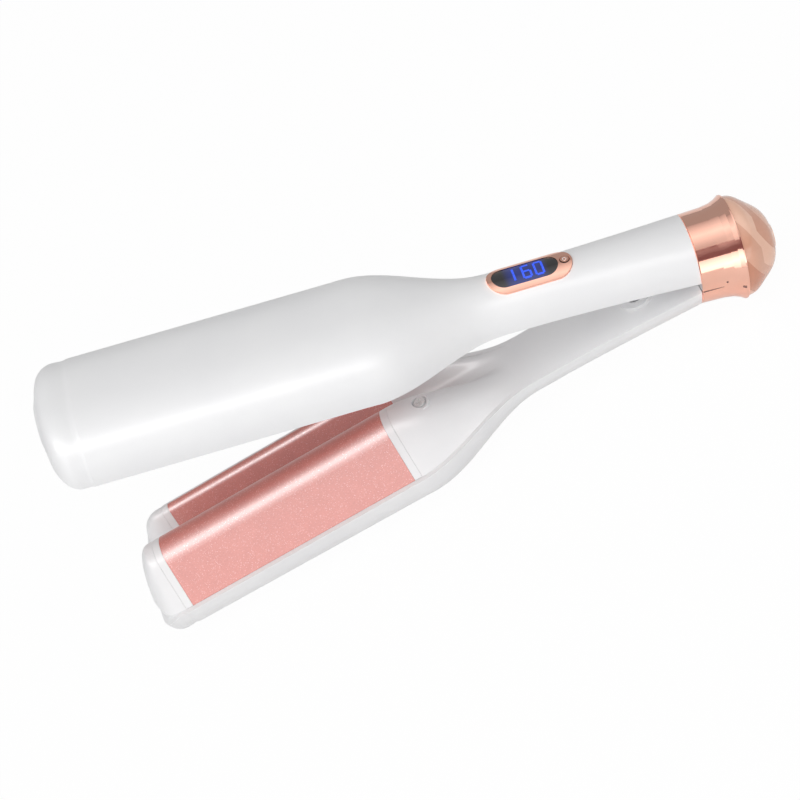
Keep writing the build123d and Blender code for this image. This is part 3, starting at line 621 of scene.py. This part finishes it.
# %% Floor
FLOOR_SIZE = 6.0
CAMERA_GLOW, GLOSSY_GLOW = 0.97, 0.3
bpy.ops.mesh.primitive_plane_add(size=FLOOR_SIZE, location=(0, 0, 0))
floor = bpy.context.object
floor.name = "floor"
paper = Finish("white_paper", Roughness=0.9)
paper.feed(Base_Color=paper.ramp(paper.noise(3.0), (0.3, (0.78, 0.78, 0.78)),
                                 (0.7, (0.80, 0.80, 0.80))))
camera_ray = paper.node("ShaderNodeLightPath", {}, {}, "Is Camera Ray")
glossy_ray = paper.node("ShaderNodeLightPath", {}, {}, "Is Glossy Ray")
glow = paper.node("ShaderNodeEmission", {}, {"Strength": 1.0})
lit_paper = paper.node("ShaderNodeMixShader", {}, {
    0: camera_ray * CAMERA_GLOW + glossy_ray * GLOSSY_GLOW,
    1: Value(paper, paper.surface.outputs[0]), 2: glow})
paper.tree.links.new(lit_paper.socket, paper.out.inputs[0])
floor.data.materials.append(paper.material)
print("floor", FLOOR_SIZE, "m wide")

# %% [markdown]
# ## Lamps
# A large soft lamp stands where the near edges throw its light to the camera, and a
# second fills from above without showing in the metal. The third is a narrow lamp that
# only glosses the surfaces: it draws the highlight along each crest.

# %% Lamps
LAMP_AIM = Vector((0, 0, 0.05))
WORLD_STRENGTH = 0.44


def soft_lamp(name, direction, distance, size, power):
    """A rectangular lamp that looks at the tool from a direction."""
    lamp = bpy.data.objects.new(name, bpy.data.lights.new(name, "AREA"))
    lamp.data.shape = "RECTANGLE"
    lamp.data.size, lamp.data.size_y = size
    lamp.data.energy = power
    scene.collection.objects.link(lamp)
    heading = Vector(direction).normalized()
    lamp.location = LAMP_AIM + heading * distance
    lamp.rotation_euler = heading.to_track_quat("Z", "Y").to_euler()
    return lamp


soft_lamp("key", (-0.10, -0.80, 0.56), distance=1.6, size=(2.4, 0.8), power=9.3)
fill = soft_lamp("fill", (-0.10, -0.30, 0.93), distance=1.6, size=(2.0, 1.2), power=11.0)
fill.visible_glossy = False
sheen = soft_lamp("sheen", (-0.19, -0.48, 0.86), distance=1.5, size=(2.4, 0.4), power=90.0)
sheen.visible_diffuse = False
sheen.data.use_shadow = False
world = bpy.data.worlds.new("studio")
scene.world = world
world.use_nodes = True
surroundings = world.node_tree.nodes["Background"]
surroundings.inputs[0].default_value = (1, 1, 1, 1)
surroundings.inputs[1].default_value = WORLD_STRENGTH
print("lamps placed")

# %% [markdown]
# ## Cards
# Long cards run beside the tool. Polished metal shows each as a band along its length,
# while the camera and the plain light don't see them.

# %% Cards
CARD_LENGTH = 4.0


def card(name, turn, spread, distance, strength, middle, rim):
    """A long card, turned down about the arm from the camera's side; angles in degrees."""
    lean = back.dot(along)
    face = Matrix.Rotation(radians(turn), 4, along) @ (back - along * lean)
    outward = face.normalized()
    side = outward.cross(along)
    bpy.ops.mesh.primitive_plane_add(size=1.0)
    made = bpy.context.object
    made.name = name
    made.matrix_world = Matrix((
        (along.x, side.x, outward.x, 0), (along.y, side.y, outward.y, 0),
        (along.z, side.z, outward.z, 0), (0, 0, 0, 1)))
    made.location = hinge + (face - along * lean).normalized() * distance
    made.scale = (CARD_LENGTH, 2 * distance * tan(radians(spread)), 1.0)
    finish = Finish(name + "_card", Roughness=1.0, Emission_Strength=strength)
    sidewise = finish.node("ShaderNodeSeparateXYZ", {}, {0: finish.place}, 1)
    finish.feed(
        Base_Color=finish.ramp(finish.noise(2.0), (0.3, (0.02, 0.02, 0.02)),
                               (0.7, (0.03, 0.03, 0.03))),
        Emission_Color=finish.ramp(sidewise.apply("ABSOLUTE"), (0.0, middle), (0.5, rim)))
    made.data.materials.append(finish.material)
    made.visible_camera = made.visible_diffuse = made.visible_shadow = False


card("dark_card", turn=1, spread=14, distance=0.74, strength=1.0,
     middle=(0.19, 0.08, 0.09), rim=(0.22, 0.10, 0.11))
card("bright_card", turn=-48, spread=35, distance=0.80, strength=1.5,
     middle=(0.9, 0.9, 0.9), rim=(0.35, 0.33, 0.33))
card("lower_card", turn=37, spread=29, distance=0.80, strength=2.4,
     middle=(1.0, 1.0, 1.0), rim=(0.4, 0.4, 0.4))
scene.view_settings.view_transform = "Standard"
print("cards placed")
